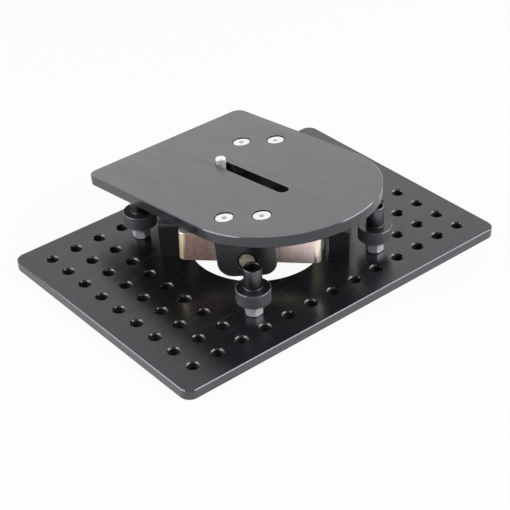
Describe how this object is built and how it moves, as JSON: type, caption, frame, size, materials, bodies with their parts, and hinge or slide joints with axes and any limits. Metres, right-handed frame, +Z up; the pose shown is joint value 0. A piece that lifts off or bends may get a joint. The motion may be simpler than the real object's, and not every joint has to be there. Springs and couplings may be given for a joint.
{
  "type": "leveling camera mount",
  "caption": "Camera leveling mount: drilled base plate, gimbal ring on crossed pivots and a slotted D-shaped plate leveled by screw jacks.",
  "frame": {"origin": "centre of the base plate's opening, at the base's underside", "axes": "+X along the base plate's long edges, +Y along its short edges towards the camera plate's flat end, +Z up"},
  "size_m": [0.3556, 0.2582, 0.0928],
  "materials": {
    "base_black": "black anodised, satin",
    "lug_black": "black anodised, satin",
    "plate_grey": "brushed, anodised",
    "yellow_zinc": "yellow zinc plate",
    "pin_steel": "ground",
    "bush_bronze": "dark sintered bronze",
    "thrust_dark": "acetal",
    "bright_screw": "bright",
    "bright_zinc": "bright zinc plate",
    "stud_dark": "black oxide",
    "sleeve_black": "black anodised",
    "wheel_black": "black anodised, knurled",
    "knob_black": "black anodised, knurled"
  },
  "bodies": {
    "base": {"base_plate": "base_black", "left_upright": "lug_black", "right_upright": "lug_black", "upright_screws": "bright_screw", "left_pivot_bush": "bush_bronze", "right_pivot_bush": "bush_bronze", "left_jack_stud": "stud_dark", "back_jack_stud": "stud_dark", "right_jack_stud": "stud_dark", "front_jack_stud": "stud_dark", "left_lock_nut": "bright_zinc", "back_lock_nut": "bright_zinc", "right_lock_nut": "bright_zinc", "front_lock_nut": "bright_zinc"},
    "ring": {"gimbal_ring": "yellow_zinc", "left_pivot_pin": "pin_steel", "back_pivot_pin": "pin_steel", "right_pivot_pin": "pin_steel", "front_pivot_pin": "pin_steel", "left_thrust_washer": "thrust_dark", "back_thrust_washer": "thrust_dark", "right_thrust_washer": "thrust_dark", "front_thrust_washer": "thrust_dark"},
    "head": {"camera_plate": "plate_grey", "front_tab": "lug_black", "back_tab": "lug_black", "tab_screws": "bright_screw", "front_pivot_bush": "bush_bronze", "back_pivot_bush": "bush_bronze"},
    "screw_carriage": {"slide_washer": "bright_screw"},
    "screw": {"camera_screw": "bright_screw", "screw_knob": "knob_black", "knob_cross_pin": "bright_screw"},
    "left_sleeve": {"left_jack_sleeve": "sleeve_black"},
    "left_wheel": {"left_jack_wheel": "wheel_black"},
    "back_sleeve": {"back_jack_sleeve": "sleeve_black"},
    "back_wheel": {"back_jack_wheel": "wheel_black"},
    "right_sleeve": {"right_jack_sleeve": "sleeve_black"},
    "right_wheel": {"right_jack_wheel": "wheel_black"},
    "front_sleeve": {"front_jack_sleeve": "sleeve_black"},
    "front_wheel": {"front_jack_wheel": "wheel_black"}
  },
  "joints": [
    {"name": "ring_tilt", "type": "hinge", "parent": "base", "child": "ring", "pos_m": [0, 0, 0.0381], "axis": [0.7071, -0.7071, 0], "range_deg": [-0.86, 10.26]},
    {"name": "head_tilt", "type": "hinge", "parent": "ring", "child": "head", "pos_m": [0, 0, 0.0381], "axis": [0.7042, 0.7042, -0.0906], "range_deg": [-0.86, 10.26]},
    {"name": "screw_slide", "type": "slide", "parent": "head", "child": "screw_carriage", "axis": [0.0041, -0.9918, 0.1279], "range_m": [0, 0.084]},
    {"name": "screw_turn", "type": "hinge", "parent": "screw_carriage", "child": "screw", "pos_m": [-0.00018, 0.04708, 0.07117], "axis": [-0.0003, 0.1279, 0.9918], "continuous": true},
    {"name": "left_sleeve_lift", "type": "slide", "parent": "base", "child": "left_sleeve", "axis": [0, 0, 1], "range_m": [-0.00159, 0.01905]},
    {"name": "left_wheel_turn", "type": "hinge", "parent": "left_sleeve", "child": "left_wheel", "pos_m": [-0.07, 0.0796, 0.03], "axis": [0, 0, 1], "range_deg": [-360, 4320]},
    {"name": "back_sleeve_lift", "type": "slide", "parent": "base", "child": "back_sleeve", "axis": [0, 0, 1], "range_m": [-0.00159, 0.01905]},
    {"name": "back_wheel_turn", "type": "hinge", "parent": "back_sleeve", "child": "back_wheel", "pos_m": [0.07, 0.0796, 0.03], "axis": [0, 0, 1], "range_deg": [-360, 4320]},
    {"name": "right_sleeve_lift", "type": "slide", "parent": "base", "child": "right_sleeve", "axis": [0, 0, -1], "range_m": [-0.01905, 0.00476]},
    {"name": "right_wheel_turn", "type": "hinge", "parent": "right_sleeve", "child": "right_wheel", "pos_m": [0.07, -0.0796, 0.03], "axis": [0, 0, -1], "range_deg": [-4320, 1080]},
    {"name": "front_sleeve_lift", "type": "slide", "parent": "base", "child": "front_sleeve", "axis": [0, 0, -1], "range_m": [-0.01905, 0.00476]},
    {"name": "front_wheel_turn", "type": "hinge", "parent": "front_sleeve", "child": "front_wheel", "pos_m": [-0.07, -0.0796, 0.03], "axis": [0, 0, -1], "range_deg": [-4320, 1080]}
  ],
  "couplings": [
    {"joint": "head_tilt", "follows": "left_wheel_turn", "ratio": 0.0023724},
    {"joint": "ring_tilt", "follows": "back_wheel_turn", "ratio": 0.0023724},
    {"joint": "left_sleeve_lift", "follows": "left_wheel_turn", "m_per_rad": 0.00025266},
    {"joint": "back_sleeve_lift", "follows": "back_wheel_turn", "m_per_rad": 0.00025266},
    {"joint": "right_sleeve_lift", "follows": "right_wheel_turn", "m_per_rad": 0.00025266},
    {"joint": "front_sleeve_lift", "follows": "front_wheel_turn", "m_per_rad": 0.00025266}
  ]
}
